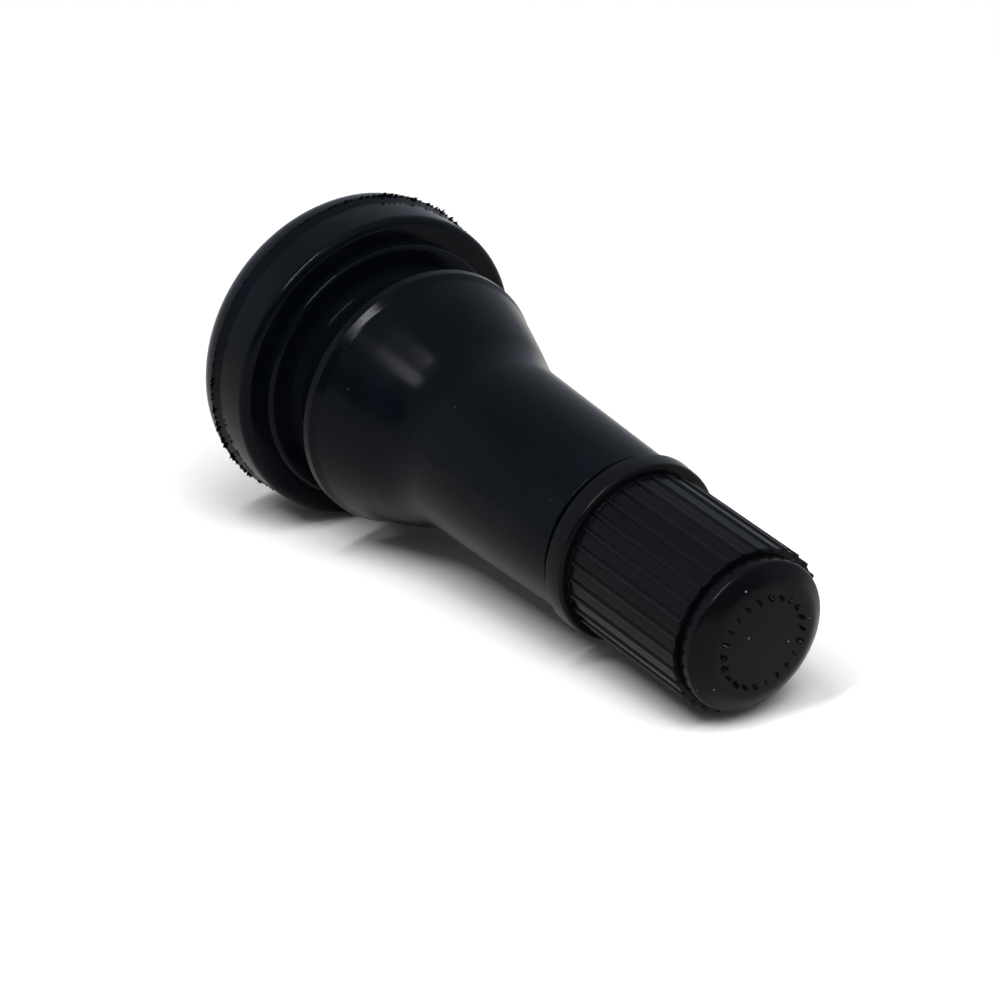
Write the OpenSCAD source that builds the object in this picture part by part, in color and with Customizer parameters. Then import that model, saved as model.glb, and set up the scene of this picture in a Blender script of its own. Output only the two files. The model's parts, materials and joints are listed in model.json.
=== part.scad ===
// Snap-in tyre valve: moulded rubber body on a brass stem, ribbed dust cap, sprung valve core.
// The valve stands on its head: +Z runs up the stem, z = 0 is the flat underside of the head.

/* [Rubber head] */
// Largest diameter of the head, at the mould's parting line
head_d = 19.3; // [17:0.1:24]
// Diameter of the head at its front edge
head_top_d = 18.8; // [17:0.1:23]
// Height of the front edge above the underside
head_h = 5.25; // [4:0.05:8]
// Radius of the rounded bottom edge, which ends at the parting line
base_edge_r = 2.3; // [1:0.05:3]
// Radius of the small moulded edges
mould_edge_r = 0.25; // [0.1:0.05:0.4]

/* [Sealing lip and rim groove] */
// Diameter of the sealing lip on the head's front face
lip_d = 17.2; // [15.4:0.1:18.2]
// Height of the lip above the front edge
lip_h = 1.6; // [0.8:0.1:3]
// Rise of the front face from its edge to the lip
face_rise = 0.35; // [0.1:0.05:0.5]
// Diameter of the neck that the rim's hole squeezes
neck_d = 12.4; // [10.5:0.1:13.5]
// Width of the groove between lip and bulb
groove_w = 2.5; // [1.8:0.1:5]
// Fillet at both corners of the groove
groove_fillet = 0.8; // [0.2:0.05:0.85]

/* [Bulb and rubber stem] */
// Largest diameter of the bulb, just above the groove
bulb_d = 15.7; // [14.6:0.1:17]
// Length of the bulb's nose, from its back edge to the stem
bulb_l = 7.2; // [5.5:0.1:12]
// Radius of the bulb's back edge
bulb_edge_r = 0.4; // [0.1:0.05:0.8]
// How far the nose swells outside a straight cone
bulb_crown = 0.13; // [0:0.01:0.4]
// Fillet length where the nose runs into the stem
nose_fillet = 0.7; // [0.2:0.1:1.5]
// Length of the rubber stem above the bulb
stem_l = 12.9; // [10:0.1:30]
// Rubber over the brass at the bulb
stem_wall_base = 1.62; // [1.2:0.02:2]
// Rubber over the brass at the stem's end
stem_wall_top = 1.13; // [0.7:0.01:1.2]

/* [Brass stem] */
// Outside diameter of the cap thread
thread_d = 7.7; // [7:0.1:9]
// Length of the thread above the rubber
thread_l = 9.2; // [7:0.1:14]
// Chamfer at the stem's mouth
mouth_chamfer = 0.4; // [0.1:0.05:0.6]
// Height of the stem's lower end above the bulb's back edge
anchor_lift = 3; // [1.5:0.1:4]
// How far the anchor ring stands out of the stem
anchor_proud = 0.7; // [0.2:0.05:1]
// Height of the anchor ring
anchor_h = 1.6; // [0.8:0.1:2.5]
// Number of keying grooves in the brass under the rubber
key_count = 4; // [1:1:5]
// Depth and width of a keying groove
key_size = 0.35; // [0.1:0.05:0.5]
// Diameter of the air hole through the head and the stem
air_d = 3.2; // [2:0.1:3.6]

/* [Core seat] */
// Diameter of the core thread in the stem
core_thread_d = 5.3; // [4.9:0.1:5.7]
// Wall round the core's lower bore, from the bore to the outside of the cap thread
core_bore_wall = 1.85; // [1.6:0.05:2]
// Height of the tapered seat
seat_h = 2; // [1.2:0.1:3]

/* [Dust cap] */
// Wall of the cap between its thread and the rib roots
cap_wall = 0.6; // [0.4:0.05:1.2]
// Depth of the ribs
rib_depth = 0.3; // [0.1:0.05:0.6]
// Number of ribs
rib_count = 30; // [16:1:40]
// Share of the pitch that a rib takes at its root
rib_root_share = 0.5; // [0.4:0.05:0.8]
// Share of the pitch that a rib takes at its tip
rib_tip_share = 0.2; // [0.1:0.02:0.38]
// How far the collar stands proud of the ribs
collar_proud = 0.55; // [0.1:0.05:1]
// Height of the collar
collar_h = 1.3; // [0.8:0.1:3]
// How much the collar narrows towards the ribs
collar_draft = 0.12; // [0:0.02:0.3]
// Height of the smooth ring at the cap's end
end_ring_h = 1.1; // [0.6:0.1:1.6]
// How far the end ring lies inside the rib tips
end_ring_inset = 0.45; // [0.1:0.05:0.8]
// Radius of the end ring's edge
end_edge_r = 0.25; // [0.1:0.05:0.4]
// Thickness of the cap's roof
cap_roof = 1.45; // [0.8:0.05:2.5]
// Diameter of the shallow dish in the end face
dish_d = 7.2; // [3:0.1:7.4]
// Depth of the dish
dish_depth = 0.15; // [0.05:0.05:0.4]
// Thickness of the seal washer in the roof
seal_t = 0.7; // [0.3:0.05:1.5]
// Hole in the seal washer
seal_hole_d = 3; // [1.5:0.1:4.5]

/* [Valve core] */
// How far the pin's tip lies below the mouth
pin_recess = 0.2; // [0:0.05:0.9]
// How far the plug's bridge lies below the mouth
plug_recess = 1.1; // [0.6:0.1:2]
// Length of the threaded plug
plug_l = 5.4; // [4.4:0.1:7]
// Thickness of the plug's bridge
bridge_t = 1; // [0.6:0.1:1.6]
// Width of the bridge between its two flats
bridge_w = 2.4; // [1.8:0.1:3]
// Height of the flats
flat_h = 2.2; // [1.4:0.1:3]
// Diameter of the air passage in the plug
plug_bore_d = 3.1; // [2.6:0.1:3.6]
// Diameter of the pin
pin_d = 1; // [0.8:0.05:1.1]
// Travel of the pin
pin_travel = 1.5; // [0.8:0.1:2]
// Diameter of the spring chamber in the barrel
chamber_d = 2.6; // [2.4:0.05:2.8]
// Wall of the barrel
barrel_wall = 0.4; // [0.3:0.05:0.5]
// Length of the barrel's neck inside the plug
neck_grip = 1.2; // [0.6:0.1:2]
// Length of the barrel below the plug
barrel_l = 6.3; // [5.6:0.1:9]
// Thickness of the barrel's floor
barrel_floor = 0.7; // [0.4:0.05:1.2]
// Height of the barrel's seal ring
ring_h = 1.4; // [0.6:0.1:1.6]
// How far the shoulder above the ring stands out of the barrel
shoulder_proud = 0.3; // [0.1:0.05:0.4]
// Thickness of the spring collar on the pin
spring_collar_t = 0.5; // [0.3:0.05:1]
// Height of the spring at rest
spring_h = 4; // [3.4:0.1:4.4]
// Diameter of the spring wire
wire_d = 0.3; // [0.2:0.02:0.34]
// Number of coils
coil_count = 6; // [3:1:7]
// Diameter of the cup below the barrel
cup_d = 3.2; // [2.8:0.05:3.4]
// Thickness of the cup's floor
cup_floor = 0.7; // [0.4:0.05:1.2]
// Thickness of the rubber ring in the cup
cup_seal_t = 0.7; // [0.4:0.05:1]

/* [Clearances] */
// Gap between the rubber's end and the cap
cap_gap = 0.1; // [0.05:0.05:0.5]
// Radial clearance between the cap and the brass thread
thread_clearance = 0.05; // [0.02:0.01:0.15]
// Gap on each face of the seal washer
seal_gap = 0.05; // [0.02:0.01:0.2]
// Radial clearance of the core's plug
plug_clearance = 0.03; // [0.01:0.01:0.1]
// Radial clearance round the pin in the bridge
pin_clearance = 0.1; // [0.05:0.05:0.2]
// Radial air gap round the pin in the barrel's floor
pin_air_gap = 0.25; // [0.15:0.05:0.3]
// Gap between the cup's ring and the barrel
cup_gap = 0.02; // [0.01:0.01:0.1]
// Gap under the spring collar and in the barrel's bore
spring_gap = 0.05; // [0.02:0.01:0.1]
// Free depth below the pressed cup
cup_room = 0.4; // [0.2:0.1:2]

/* [Hidden] */
$fn = 96;
// overlap of cutting tools past the faces that they cut
cut = 0.5;
// points on a rounded edge and along the nose
edge_steps = 6;
nose_steps = 10;
// points round the spring wire and along one coil
wire_sides = 8;
coil_steps = 16;

// heights, from the underside of the head up to the cap's end
lip_z = head_h + lip_h;
bulb_z = lip_z + groove_w;
stem_z = bulb_z + bulb_l;
rubber_z = stem_z + stem_l;
mouth_z = rubber_z + thread_l;
brass_z = bulb_z + anchor_lift;
cap_z = rubber_z + cap_gap;
seal_z = mouth_z + seal_gap;
roof_z = seal_z + seal_t + seal_gap;
end_z = roof_z + cap_roof;
ring_z = end_z - end_ring_h;

// heights of the core, from the mouth down
pin_z = mouth_z - pin_recess;
plug_top_z = mouth_z - plug_recess;
plug_z = plug_top_z - plug_l;
barrel_z = plug_z - barrel_l;
chamber_z = barrel_z + barrel_floor;
collar_low_z = chamber_z + spring_h + spring_gap;
cup_seal_z = barrel_z - cup_gap - cup_seal_t;
cup_z = cup_seal_z - cup_floor;
core_bore_z = cup_z - pin_travel - cup_room;
seat_z = plug_z - seat_h;
ring_top_z = seat_z + ring_h;

// radii
thread_r = thread_d / 2;
stem_base_r = thread_r + stem_wall_base;
stem_top_r = thread_r + stem_wall_top;
air_r = air_d / 2;
core_thread_r = core_thread_d / 2;
core_bore_r = thread_r - core_bore_wall;
cap_bore_r = thread_r + thread_clearance;
rib_root_r = cap_bore_r + cap_wall;
rib_tip_r = rib_root_r + rib_depth;
collar_r = rib_tip_r + collar_proud;
end_ring_r = rib_tip_r - end_ring_inset;
pin_r = pin_d / 2;
chamber_r = chamber_d / 2;
barrel_r = chamber_r + barrel_wall;
plug_bore_r = plug_bore_d / 2;
coil_r = (pin_r + chamber_r) / 2;

// angle through which the head's front edge is rounded
front_edge_turn = 75;
// the nose of the bulb: its slope, the middle of its back edge and the ends of its crowned side
nose_angle = atan((bulb_d / 2 - stem_base_r) / bulb_l);
nose_edge = [bulb_d / 2 - bulb_edge_r, bulb_z + bulb_edge_r];
nose_low = nose_edge + bulb_edge_r * [cos(nose_angle), sin(nose_angle)];
nose_high = [stem_base_r + tan(nose_angle) * nose_fillet / 2, stem_z - nose_fillet];

// radius of the tapered seat at height z
function seat_r(z) = core_bore_r + (core_thread_r - core_bore_r) * (z - seat_z) / seat_h;
// points of an arc round c, from angle a to angle b
function arc(c, r, a, b) =
    [for (i = [0 : edge_steps]) let (t = a + (b - a) * i / edge_steps) c + r * [cos(t), sin(t)]];
// points between p and q on a parabola that swells by rise outside their straight line
function crown(p, q, rise) =
    [for (i = [1 : nose_steps - 1]) let (t = i / nose_steps) p + (q - p) * t + [4 * rise * t * (1 - t), 0]];
// points of a smooth bend from p to q, drawn towards the corner c
function bend(p, c, q) =
    [for (i = [0 : edge_steps]) let (t = i / edge_steps) p * (1 - t) ^ 2 + c * 2 * t * (1 - t) + q * t ^ 2];

// Outside of the moulded body, from the underside up to the stem's end
rubber_outline = concat(
    [[0, 0]],
    arc([head_d / 2 - base_edge_r, base_edge_r], base_edge_r, -90, 0),
    arc([head_top_d / 2 - mould_edge_r, head_h - mould_edge_r], mould_edge_r, 0, front_edge_turn),
    [[lip_d / 2, head_h + face_rise]],
    arc([lip_d / 2 - mould_edge_r, lip_z - mould_edge_r], mould_edge_r, 0, 90),
    arc([neck_d / 2 + groove_fillet, lip_z + groove_fillet], groove_fillet, -90, -180),
    arc([neck_d / 2 + groove_fillet, bulb_z - groove_fillet], groove_fillet, 180, 90),
    arc(nose_edge, bulb_edge_r, -90, nose_angle),
    crown(nose_low, nose_high, bulb_crown),
    bend(nose_high, [stem_base_r, stem_z - nose_fillet / 2], [stem_base_r, stem_z]),
    arc([stem_top_r - mould_edge_r, rubber_z - mould_edge_r], mould_edge_r, 0, 90),
    [[0, rubber_z]]
);

// Outside of the brass stem: anchor ring, keyed shank, cap thread and chamfered mouth
module brass_outside() {
    difference() {
        union() {
            translate([0, 0, brass_z]) cylinder(r = thread_r, h = mouth_z - mouth_chamfer - brass_z);
            translate([0, 0, brass_z]) cylinder(r = thread_r + anchor_proud, h = anchor_h);
            translate([0, 0, mouth_z - mouth_chamfer])
                cylinder(r1 = thread_r, r2 = thread_r - mouth_chamfer, h = mouth_chamfer);
        }
        key_grooves();
    }
}

// Grooves that key the rubber to the brass, spread evenly between anchor and stem end
module key_grooves() {
    low = brass_z + anchor_h;
    pitch = (rubber_z - low) / (key_count + 1);
    for (i = [1 : key_count]) {
        translate([0, 0, low + i * pitch - key_size / 2]) difference() {
            cylinder(r = thread_r + cut, h = key_size);
            translate([0, 0, -cut]) cylinder(r = thread_r - key_size, h = key_size + 2 * cut);
        }
    }
}

// Section of the ribbed barrel of the cap
module rib_section() {
    pitch = 360 / rib_count;
    corners = [
        [-rib_root_share, rib_root_r], [-rib_tip_share, rib_tip_r],
        [rib_tip_share, rib_tip_r], [rib_root_share, rib_root_r]
    ];
    polygon([
        for (i = [0 : rib_count - 1])
            for (c = corners)
                let (a = (i + c[0] / 2) * pitch) c[1] * [cos(a), sin(a)]
    ]);
}

// Swept wire of the plunger spring: rings of points along the helix, capped at both ends
function coil_points() = [
    for (i = [0 : coil_count * coil_steps])
        let (
            turn = 360 * i / coil_steps,
            mid = chamber_z + wire_d / 2 + (spring_h - wire_d) * i / (coil_count * coil_steps)
        )
        for (k = [0 : wire_sides - 1])
            let (t = 360 * k / wire_sides, out = coil_r + wire_d / 2 * cos(t))
                [out * cos(turn), out * sin(turn), mid + wire_d / 2 * sin(t)]
];
function coil_faces() = let (last = coil_count * coil_steps) concat(
    [[for (k = [0 : wire_sides - 1]) k]],
    [[for (k = [wire_sides - 1 : -1 : 0]) last * wire_sides + k]],
    [
        for (i = [0 : last - 1])
            for (k = [0 : wire_sides - 1])
                let (a = i * wire_sides, n = (k + 1) % wire_sides)
                    [a + k, a + wire_sides + k, a + wire_sides + n, a + n]
    ]
);

// One moulding: head, lip, rim groove, bulb and stem sleeve
module rubber_body() {
    color("#15171b") difference() {
        rotate_extrude() polygon(rubber_outline);
        brass_outside();
        translate([0, 0, -cut]) cylinder(r = air_r, h = brass_z + 2 * cut);
    }
}

// Turned brass stem with its core bore, tapered seat and air hole
module brass_stem() {
    color("#c2a05a") difference() {
        brass_outside();
        translate([0, 0, brass_z - cut]) cylinder(r = air_r, h = mouth_z - brass_z + 2 * cut);
        translate([0, 0, core_bore_z]) cylinder(r = core_bore_r, h = mouth_z - core_bore_z + cut);
        translate([0, 0, seat_z]) cylinder(r1 = core_bore_r, r2 = core_thread_r, h = seat_h);
        translate([0, 0, plug_z]) cylinder(r = core_thread_r, h = mouth_z - plug_z + cut);
    }
}

// Moulded cap: smooth collar, ribbed barrel, stepped end with a shallow dish
module dust_cap() {
    color("#1c1e22") difference() {
        union() {
            translate([0, 0, cap_z]) cylinder(r1 = collar_r, r2 = collar_r - collar_draft, h = collar_h);
            translate([0, 0, cap_z]) linear_extrude(height = ring_z - cap_z) rib_section();
            rotate_extrude() polygon(concat(
                [[0, cap_z], [end_ring_r, cap_z]],
                arc([end_ring_r - end_edge_r, end_z - end_edge_r], end_edge_r, 0, 90),
                [[0, end_z]]
            ));
        }
        translate([0, 0, cap_z - cut]) cylinder(r = cap_bore_r, h = roof_z - cap_z + cut);
        translate([0, 0, end_z - dish_depth]) cylinder(r = dish_d / 2, h = dish_depth + cut);
    }
}

// Rubber washer under the cap's roof
module cap_seal() {
    color("#26282c") translate([0, 0, seal_z]) difference() {
        cylinder(r = cap_bore_r - seal_gap, h = seal_t);
        translate([0, 0, -cut]) cylinder(d = seal_hole_d, h = seal_t + 2 * cut);
    }
}

// Threaded plug of the core, with a bridge between two flats
module core_plug() {
    color("#b8975a") difference() {
        translate([0, 0, plug_z]) cylinder(r = core_thread_r - plug_clearance, h = plug_l);
        translate([0, 0, plug_z - cut]) cylinder(r = plug_bore_r, h = plug_l - bridge_t + cut);
        translate([0, 0, plug_z]) cylinder(r = pin_r + pin_clearance, h = plug_l + cut);
        for (side = [-1, 1]) {
            translate([side * (bridge_w + core_thread_d) / 2, 0, plug_top_z])
                cube([core_thread_d, 2 * core_thread_d, 2 * flat_h], center = true);
        }
    }
}

// Barrel of the core: neck in the plug, shoulder over its ring, spring chamber and floor
module core_barrel() {
    color("#b08d52") difference() {
        union() {
            translate([0, 0, barrel_z]) cylinder(r = barrel_r, h = barrel_l);
            translate([0, 0, ring_top_z]) cylinder(r = barrel_r + shoulder_proud, h = plug_z - ring_top_z);
            translate([0, 0, plug_z - cut]) cylinder(r = plug_bore_r, h = neck_grip + cut);
        }
        translate([0, 0, chamber_z]) cylinder(r = chamber_r, h = plug_z + neck_grip - chamber_z + cut);
        translate([0, 0, barrel_z - cut]) cylinder(r = pin_r + pin_air_gap, h = barrel_floor + 2 * cut);
    }
}

// Tapered ring that seals the barrel in the stem's seat
module barrel_seal() {
    color("#a8332b") difference() {
        translate([0, 0, seat_z]) cylinder(r1 = seat_r(seat_z), r2 = seat_r(ring_top_z), h = ring_h);
        translate([0, 0, seat_z - cut]) cylinder(r = barrel_r, h = ring_h + 2 * cut);
    }
}

// Pin that the pump or the thumb presses, with a rounded tip
module plunger_pin() {
    color("#c9b27a") rotate_extrude() polygon(concat(
        [[0, cup_z], [pin_r, cup_z]],
        arc([0, pin_z - pin_r], pin_r, 0, 90)
    ));
}

// Collar on the pin that the spring pushes up
module spring_collar() {
    color("#bfa468") translate([0, 0, collar_low_z]) difference() {
        cylinder(r = chamber_r - 2 * spring_gap, h = spring_collar_t);
        translate([0, 0, -cut]) cylinder(r = pin_r, h = spring_collar_t + 2 * cut);
    }
}

// Coil spring between the barrel's floor and the collar
module plunger_spring() {
    color("#9aa0a6") polyhedron(points = coil_points(), faces = coil_faces(), convexity = 10);
}

// Cup at the pin's lower end that carries the rubber ring
module seal_cup() {
    color("#c2a05a") difference() {
        translate([0, 0, cup_z]) cylinder(d = cup_d, h = cup_floor + cup_seal_t / 2);
        translate([0, 0, cup_seal_z]) cylinder(r = barrel_r - barrel_wall / 2, h = cup_seal_t);
        translate([0, 0, cup_z - cut]) cylinder(r = pin_r, h = cup_floor + 2 * cut);
    }
}

// Rubber ring in the cup that closes the barrel's floor
module cup_seal() {
    color("#1d1f23") translate([0, 0, cup_seal_z]) difference() {
        cylinder(r = barrel_r - barrel_wall / 2, h = cup_seal_t);
        translate([0, 0, -cut]) cylinder(r = pin_r, h = cup_seal_t + 2 * cut);
    }
}

rubber_body();
brass_stem();
dust_cap();
cap_seal();
core_plug();
core_barrel();
barrel_seal();
plunger_pin();
spring_collar();
plunger_spring();
seal_cup();
cup_seal();
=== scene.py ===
import json
import math

import bmesh
import bpy
from mathutils import Matrix, Vector

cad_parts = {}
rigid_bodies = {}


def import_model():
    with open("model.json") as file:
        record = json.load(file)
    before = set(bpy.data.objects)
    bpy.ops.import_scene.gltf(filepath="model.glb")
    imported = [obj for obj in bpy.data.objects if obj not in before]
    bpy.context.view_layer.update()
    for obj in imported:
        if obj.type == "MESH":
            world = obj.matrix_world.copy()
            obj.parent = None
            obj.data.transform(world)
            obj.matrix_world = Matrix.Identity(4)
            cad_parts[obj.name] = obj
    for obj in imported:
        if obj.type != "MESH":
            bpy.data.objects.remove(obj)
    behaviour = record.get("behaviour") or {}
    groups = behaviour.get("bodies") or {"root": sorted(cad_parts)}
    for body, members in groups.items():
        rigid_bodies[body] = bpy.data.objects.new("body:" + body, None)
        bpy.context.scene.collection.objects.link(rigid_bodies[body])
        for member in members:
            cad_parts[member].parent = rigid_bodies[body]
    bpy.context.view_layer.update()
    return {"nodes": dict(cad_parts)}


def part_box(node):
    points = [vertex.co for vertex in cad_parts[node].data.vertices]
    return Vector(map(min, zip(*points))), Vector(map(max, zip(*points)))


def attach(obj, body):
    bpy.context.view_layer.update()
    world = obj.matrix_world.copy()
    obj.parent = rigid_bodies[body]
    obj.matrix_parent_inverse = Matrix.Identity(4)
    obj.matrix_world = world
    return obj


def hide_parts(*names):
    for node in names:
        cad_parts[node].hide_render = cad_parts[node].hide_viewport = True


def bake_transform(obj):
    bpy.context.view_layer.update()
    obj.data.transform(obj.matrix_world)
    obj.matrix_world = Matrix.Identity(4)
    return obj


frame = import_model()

# Snap-in tyre valve lying on a white floor. Row frame: +Z along the stem, head at zero, metres.
# Sizes in the dictionaries are millimetres, times mm where a node tree takes metres, and angles are
# degrees, unless a note says otherwise.
mm = 0.001
weld = 1e-7           # metres, points nearer than this are one
fullTurn = 2 * math.pi
scene = bpy.context.scene
capPitch = 0.79375    # 32 threads to the inch, which the cap's coupled joints follow
capAboveFront = 24.3
# the head's front edge, from which other heights are measured
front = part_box("dust_cap")[0].z / mm - capAboveFront
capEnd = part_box("dust_cap")[1].z / mm


# Helpers for nodes

def toLinear(hexColour):
    channels = [int(hexColour[at:at + 2], 16) / 255 for at in (1, 3, 5)]
    return [c / 12.92 if c <= 0.04045 else ((c + 0.055) / 1.055) ** 2.4 for c in channels] + [1.0]


def feed(tree, node, inputs):
    # link nodes and sockets to a node's inputs, and set plain values on them
    for key, value in inputs.items():
        if isinstance(value, bpy.types.Node):
            value = value.outputs[0]
        if isinstance(value, bpy.types.NodeSocket):
            tree.links.new(value, node.inputs[key])
        else:
            node.inputs[key].default_value = value


def addNode(tree, kind, inputs=None, **settings):
    node = tree.nodes.new(kind)
    for key, value in settings.items():
        setattr(node, key, value)
    feed(tree, node, inputs or {})
    return node


def calc(tree, operation, *values):
    return addNode(tree, "ShaderNodeMath", dict(enumerate(values)), operation=operation)


def vectorCalc(tree, operation, *values):
    # a vector, or the single value of a length, distance or dot product
    node = addNode(tree, "ShaderNodeVectorMath", dict(enumerate(values)), operation=operation)
    return node.outputs["Value" if operation in ("LENGTH", "DISTANCE", "DOT_PRODUCT") else "Vector"]


def combine(tree, x=0.0, y=0.0, z=0.0):
    return addNode(tree, "ShaderNodeCombineXYZ", {0: x, 1: y, 2: z})


def spread(tree, value, source, target=(0.0, 1.0), **settings):
    # stretch a value's source range to the target range, and hold it at both ends
    return addNode(tree, "ShaderNodeMapRange", {
        "Value": value, "From Min": source[0], "From Max": source[1],
        "To Min": target[0], "To Max": target[1]}, **settings)


def mixValue(tree, share, first, second):
    return addNode(tree, "ShaderNodeMix", {0: share, 2: first, 3: second})


def mixColour(tree, share, first, second):
    return addNode(tree, "ShaderNodeMix", {0: share, 6: first, 7: second}, data_type="RGBA").outputs[2]


def noise(tree, where, size, detail):
    # lumps of about this size in mm
    return addNode(tree, "ShaderNodeTexNoise", {"Vector": where, "Scale": 1 / (size * mm), "Detail": detail})


def bump(tree, height, depth, under=None):
    # depth in mm, over another bump where there is one
    inputs = {"Height": height, "Strength": 1.0, "Distance": depth * mm}
    if under:
        inputs["Normal"] = under
    return addNode(tree, "ShaderNodeBump", inputs)


def newMaterial(name):
    material = bpy.data.materials.new(name)
    material.use_nodes = True
    tree = material.node_tree
    where = addNode(tree, "ShaderNodeTexCoord").outputs["Object"]
    return material, tree, tree.nodes["Principled BSDF"], where


def addSpecks(tree, where, colour, look, share):
    # a pale speck in the cells whose random value lies above the share: dust, and on the cap's end also a
    # painted glint
    specks = addNode(tree, "ShaderNodeTexVoronoi", {"Vector": where, "Scale": 1 / (look["speck"] * mm)})
    chosen = calc(tree, "GREATER_THAN", specks.outputs["Color"], share)
    disc = spread(tree, specks, look["speckEdge"], (look["speckLevel"], 0.0))
    return mixColour(tree, calc(tree, "MULTIPLY", chosen, disc), colour, toLinear(look["dust"]))


# Helpers for shapes

def rounded(points, steps=7):
    # a line of (radius, height, rounding) corners as plain points, with each corner rounded
    line = []
    for at, (radius, height, rounding) in enumerate(points):
        here = Vector((radius, height))
        if rounding == 0 or at in (0, len(points) - 1):
            line.append(here)
            continue
        back = (Vector(points[at - 1][:2]) - here).normalized()
        onward = (Vector(points[at + 1][:2]) - here).normalized()
        half = math.acos(max(-1, min(1, back.dot(onward)))) / 2
        reach = rounding / math.tan(half)
        centre = here + (back + onward).normalized() * rounding / math.sin(half)
        first = here + back * reach - centre
        last = here + onward * reach - centre
        sweep = first.angle_signed(last)
        for step in range(steps + 1):
            line.append(centre + Matrix.Rotation(-sweep * step / steps, 2) @ first)
    return line


def bowed(start, end, rise, steps=14):
    # corners between two points on a shallow bow that swells outwards by rise
    span = [(start[0] + (end[0] - start[0]) * t, start[1] + (end[1] - start[1]) * t, t)
            for t in (step / steps for step in range(1, steps))]
    return [(radius + 4 * rise * t * (1 - t), height, 0) for radius, height, t in span]


def finishMesh(name, shape, material, sharpAngle=40):
    bmesh.ops.remove_doubles(shape, verts=shape.verts, dist=weld)
    bmesh.ops.recalc_face_normals(shape, faces=shape.faces)
    mesh = bpy.data.meshes.new(name)
    shape.to_mesh(mesh)
    shape.free()
    mesh.materials.append(material)
    mesh.shade_smooth()
    mesh.set_sharp_from_angle(angle=math.radians(sharpAngle))
    piece = bpy.data.objects.new(name, mesh)
    scene.collection.objects.link(piece)
    return piece


def lathe(name, line, around, material):
    # a section line turned about Z, from pole to pole or as a closed ring
    shape = bmesh.new()
    rings = []
    for radius, height in line:
        count = around if radius > 0 else 1
        spots = [fullTurn * k / around for k in range(count)]
        rings.append([shape.verts.new((radius * mm * math.cos(t), radius * mm * math.sin(t), height * mm))
                      for t in spots])
    ends = rings[1:] if len(rings[0]) == 1 else rings[1:] + rings[:1]
    for low, high in zip(rings, ends):
        for k in range(around):
            j = (k + 1) % around
            corners = [low[k % len(low)], low[j % len(low)], high[j % len(high)], high[k % len(high)]]
            shape.faces.new(list(dict.fromkeys(corners)))
    return finishMesh(name, shape, material)


def newTree(name, sizes):
    # a Geometry Nodes tree with a named input for each size
    kinds = {int: "NodeSocketInt", float: "NodeSocketFloat"}
    tree = bpy.data.node_groups.new(name, "GeometryNodeTree")
    for label, value in sizes.items():
        tree.interface.new_socket(name=label, in_out="INPUT", socket_type=kinds[type(value)])
    tree.interface.new_socket(name="Mesh", in_out="OUTPUT", socket_type="NodeSocketGeometry")
    return tree, tree.nodes.new("NodeGroupInput").outputs


def bakeTree(name, tree, sizes, last, material):
    # realise what the tree makes, give it its material and turn it into a plain mesh
    solid = addNode(tree, "GeometryNodeRealizeInstances", {0: last})
    painted = addNode(tree, "GeometryNodeSetMaterial", {"Geometry": solid, "Material": material})
    addNode(tree, "NodeGroupOutput", {0: painted})
    holder = bpy.data.objects.new(name + ".holder", bpy.data.meshes.new(name + ".holder"))
    scene.collection.objects.link(holder)
    modifier = holder.modifiers.new("nodes", "NODES")
    modifier.node_group = tree
    for item in tree.interface.items_tree:
        if item.in_out == "INPUT":
            modifier[item.identifier] = sizes[item.name]
    ready = holder.evaluated_get(bpy.context.evaluated_depsgraph_get())
    made = bpy.data.meshes.new_from_object(ready)
    shape = bmesh.new()
    shape.from_mesh(made)
    holder.modifiers.clear()
    bpy.data.objects.remove(holder)
    return finishMesh(name, shape, material)


def raised(tree, geometry, height):
    up = combine(tree, z=height)
    return addNode(tree, "GeometryNodeTransform", {"Geometry": geometry, "Translation": up})


def evenTurn(tree, count):
    # angle of each of count instances, spread evenly round the axis
    share = calc(tree, "DIVIDE", addNode(tree, "GeometryNodeInputIndex"), count)
    return calc(tree, "MULTIPLY", share, fullTurn)


def spinBy(tree, angle):
    return addNode(tree, "FunctionNodeEulerToRotation", {0: combine(tree, z=angle)})


def helix(tree, steps, turns, radius, rise):
    # right-handed, with this many steps a turn
    return addNode(tree, "GeometryNodeCurveSpiral", {
        "Resolution": steps, "Rotations": turns, "Start Radius": radius, "End Radius": radius,
        "Height": rise, "Reverse": True})


def trapezoid(tree, height, root, crest, lift=0.5):
    # a section that stands on its root, sunk a little where the lift is under a half of its height
    section = addNode(tree, "GeometryNodeCurvePrimitiveQuadrilateral", {
        "Height": height, "Bottom Width": root, "Top Width": crest, "Offset": 0.0}, mode="TRAPEZOID")
    up = combine(tree, y=calc(tree, "MULTIPLY", height, lift))
    return addNode(tree, "GeometryNodeTransform", {"Geometry": section, "Translation": up})


def place(piece, body, slot, *nodes):
    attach(piece, body)
    if nodes:
        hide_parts(*nodes)


# The photograph's view

view = {
    "lens": 129.6,
    "sensor": 36,
    "picture": 1000,             # pixels across
    "stemOffLens": 45.16,        # between the stem and the line back to the lens
    "stemBelowLevel": 36.22,     # slope of the stem in the picture, falling to the right
    "lookDown": 22.0,            # how far the camera looks down on the floor
    "headPixel": (378.9, 367.4),    # middle of the head's front edge
    "headDepth": 211.34,         # from the lens to that point
    "restSide": 135.0,           # side of the valve that lies on the floor, from +X about +Z
}
offLens = math.radians(view["stemOffLens"])
below = math.radians(view["stemBelowLevel"])
lookDown = math.radians(view["lookDown"])
focal = view["lens"] / view["sensor"] * view["picture"]
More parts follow.
